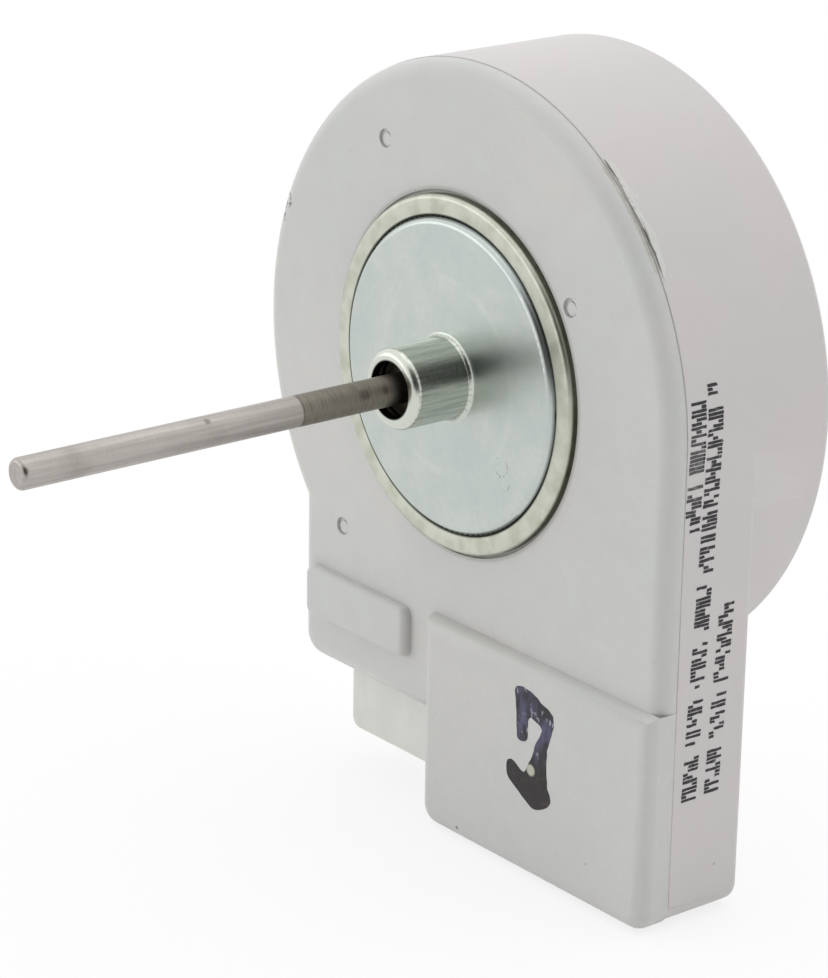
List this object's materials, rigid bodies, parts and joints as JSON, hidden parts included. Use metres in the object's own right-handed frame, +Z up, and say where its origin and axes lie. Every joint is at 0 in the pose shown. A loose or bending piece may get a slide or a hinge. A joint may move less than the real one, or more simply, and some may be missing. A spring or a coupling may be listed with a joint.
{
  "type": "evaporator fan motor",
  "caption": "Small direct-current fan motor: moulded resin body with a plated steel bracket, a long thin shaft and a plug socket underneath.",
  "frame": {"origin": "in the middle of the drum's rear face, on the shaft's axis", "axes": "-Y along the shaft towards its free end, +Y out of the drum's rear face, +Z up with the connector opening downwards, +X to the right seen from the shaft's side"},
  "size_m": [0.065, 0.073, 0.0818],
  "materials": {
    "resin_body": "satin moulded resin",
    "zinc_plated_steel": "bright zinc plate",
    "core_steel": "stamped laminations",
    "insulator_plastic": "moulded",
    "tinned_metal": "tin plated",
    "board_laminate": "solder mask",
    "chip_black": "moulded package",
    "capacitor_can": "drawn can",
    "ceramic_tan": "fired ceramic",
    "connector_ivory": "moulded",
    "sintered_bronze": "oil-filled sintered metal",
    "nylon": "natural",
    "ground_steel": "ground",
    "hub_plastic": "moulded",
    "ferrite": "sintered ferrite",
    "turned_brass": "turned",
    "spring_steel": "bright",
    "copper_wire": "enamelled wire"
  },
  "bodies": {
    "motor_body": {"moulded_housing": "resin_body", "steel_bracket": "zinc_plated_steel", "stator_core": "core_steel", "rear_insulator": "insulator_plastic", "front_insulator": "insulator_plastic", "winding_terminals": "tinned_metal", "circuit_board": "board_laminate", "driver_chip": "chip_black", "hall_sensor": "chip_black", "smoothing_capacitor": "capacitor_can", "ceramic_capacitors": "ceramic_tan", "chip_resistors": "chip_black", "surge_diode": "chip_black", "connector_housing": "connector_ivory", "connector_contacts": "tinned_metal", "front_bearing": "sintered_bronze", "rear_bearing": "sintered_bronze", "thrust_pad": "nylon", "coil_1": "copper_wire", "coil_2": "copper_wire", "coil_3": "copper_wire", "coil_4": "copper_wire", "coil_5": "copper_wire", "coil_6": "copper_wire", "coil_7": "copper_wire", "coil_8": "copper_wire", "coil_9": "copper_wire"},
    "rotor": {"shaft": "ground_steel", "rotor_hub": "hub_plastic", "ring_magnet": "ferrite", "rear_washer": "nylon", "front_collar": "turned_brass", "front_washer": "nylon", "wave_washer": "spring_steel", "bearing_washer": "nylon"}
  },
  "joints": [
    {"name": "rotor_spin", "type": "hinge", "parent": "motor_body", "child": "rotor", "pos_m": [0, 0, 0], "axis": [0, -1, 0], "continuous": true}
  ]
}
